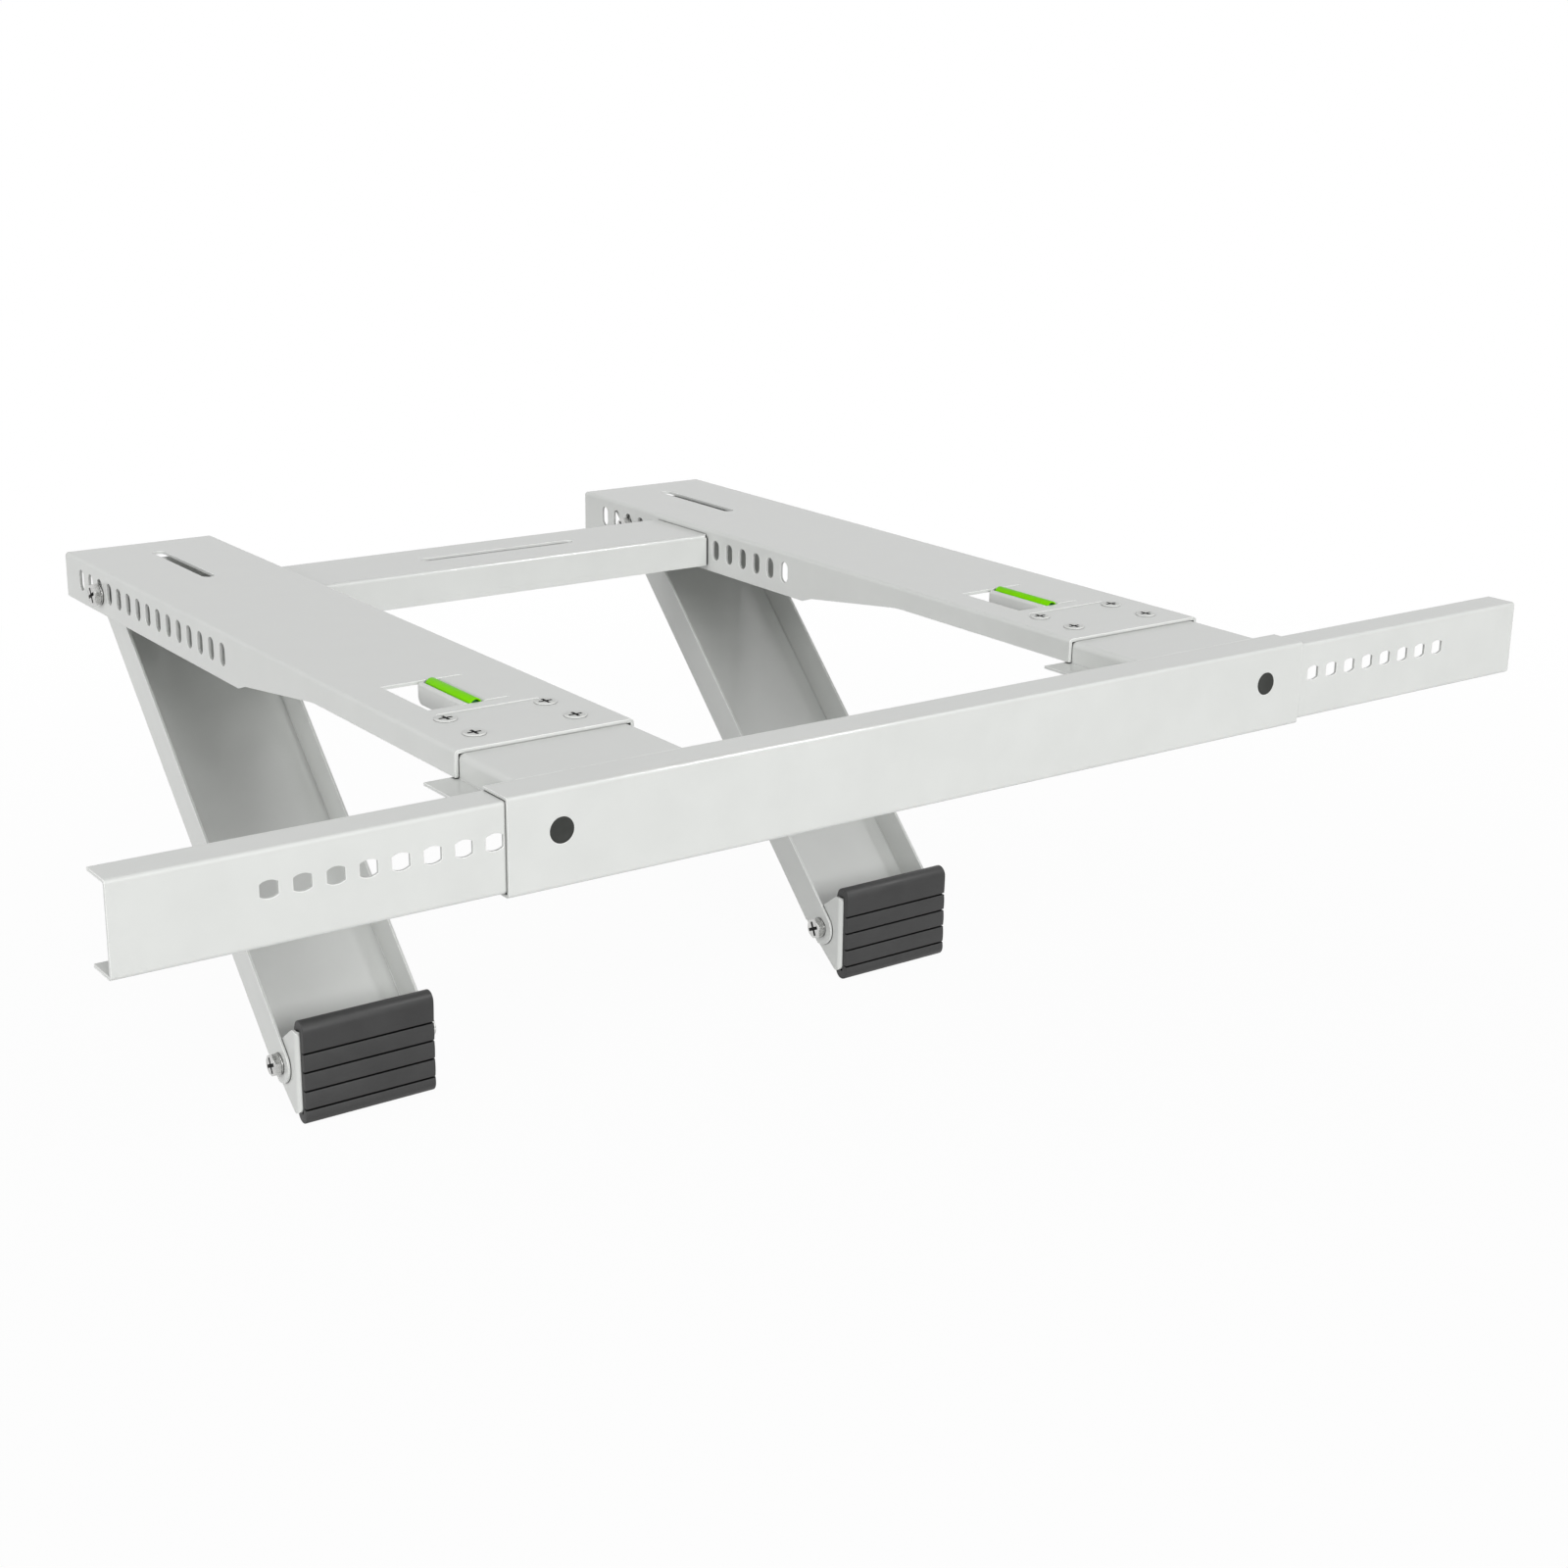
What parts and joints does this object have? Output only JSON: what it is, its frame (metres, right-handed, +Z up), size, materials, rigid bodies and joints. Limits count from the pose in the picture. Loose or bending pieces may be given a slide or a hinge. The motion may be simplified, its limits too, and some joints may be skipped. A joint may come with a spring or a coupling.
{
  "type": "window air conditioner bracket",
  "caption": "Folded-steel window support for an air conditioner: a telescopic crossbar, slotted arms with levels, folding braces and ribbed rubber feet.",
  "frame": {"origin": "centre of the crossbar's room-side face", "axes": "+X along the crossbar, +Y outdoors along the arms, +Z up"},
  "size_m": [0.9288, 0.6205, 0.2949],
  "materials": {
    "painted_steel": "glossy light grey powder coat",
    "zinc_plate": "bright zinc plate",
    "plug_plastic": "satin black",
    "pad_rubber": "matt black",
    "level_tube": "clear",
    "level_fluid": "clear green liquid",
    "level_stopper": "dark green"
  },
  "bodies": {
    "frame": {"crossbar_sleeve": "painted_steel", "cross_tie": "painted_steel", "sleeve_plug_left": "plug_plastic", "sleeve_plug_right": "plug_plastic", "front_bracket_left": "painted_steel", "front_bracket_right": "painted_steel", "arm_left": "painted_steel", "arm_right": "painted_steel", "arm_screws_left": "zinc_plate", "arm_screws_right": "zinc_plate", "arm_screw_nuts_left": "zinc_plate", "arm_screw_nuts_right": "zinc_plate", "level_vial_left": "level_tube", "level_vial_right": "level_tube", "level_end_plugs_left": "level_stopper", "level_end_plugs_right": "level_stopper", "level_liquid_left": "level_fluid", "level_liquid_right": "level_fluid"},
    "extension_left": {"extension_left": "painted_steel"},
    "leg_left": {"leg_left": "painted_steel", "leg_bolts_left": "zinc_plate", "leg_washers_left": "zinc_plate", "leg_nuts_left": "zinc_plate", "foot_bolts_left": "zinc_plate", "foot_washers_left": "zinc_plate", "foot_nuts_left": "zinc_plate"},
    "foot_left": {"foot_plate_left": "painted_steel", "foot_pad_left": "pad_rubber"},
    "extension_right": {"extension_right": "painted_steel"},
    "leg_right": {"leg_right": "painted_steel", "leg_bolts_right": "zinc_plate", "leg_washers_right": "zinc_plate", "leg_nuts_right": "zinc_plate", "foot_bolts_right": "zinc_plate", "foot_washers_right": "zinc_plate", "foot_nuts_right": "zinc_plate"},
    "foot_right": {"foot_plate_right": "painted_steel", "foot_pad_right": "pad_rubber"}
  },
  "joints": [
    {"name": "left_extension_slide", "type": "slide", "parent": "frame", "child": "extension_left", "axis": [-1, 0, 0], "range_m": [-0.19, 0.013]},
    {"name": "left_leg_hinge", "type": "hinge", "parent": "frame", "child": "leg_left", "pos_m": [-0.2036, 0.55892, 0.01025], "axis": [1, 0, 0], "range_deg": [-38, 2.5]},
    {"name": "left_foot_hinge", "type": "hinge", "parent": "leg_left", "child": "foot_left", "pos_m": [-0.2036, 0.31702, -0.23292], "axis": [1, 0, 0], "range_deg": [-84, 94]},
    {"name": "right_extension_slide", "type": "slide", "parent": "frame", "child": "extension_right", "axis": [1, 0, 0], "range_m": [-0.197, 0.0056]},
    {"name": "right_leg_hinge", "type": "hinge", "parent": "frame", "child": "leg_right", "pos_m": [0.2036, 0.55892, 0.01025], "axis": [1, 0, 0], "range_deg": [-38, 2.5]},
    {"name": "right_foot_hinge", "type": "hinge", "parent": "leg_right", "child": "foot_right", "pos_m": [0.2036, 0.31702, -0.23292], "axis": [1, 0, 0], "range_deg": [-84, 94]}
  ]
}
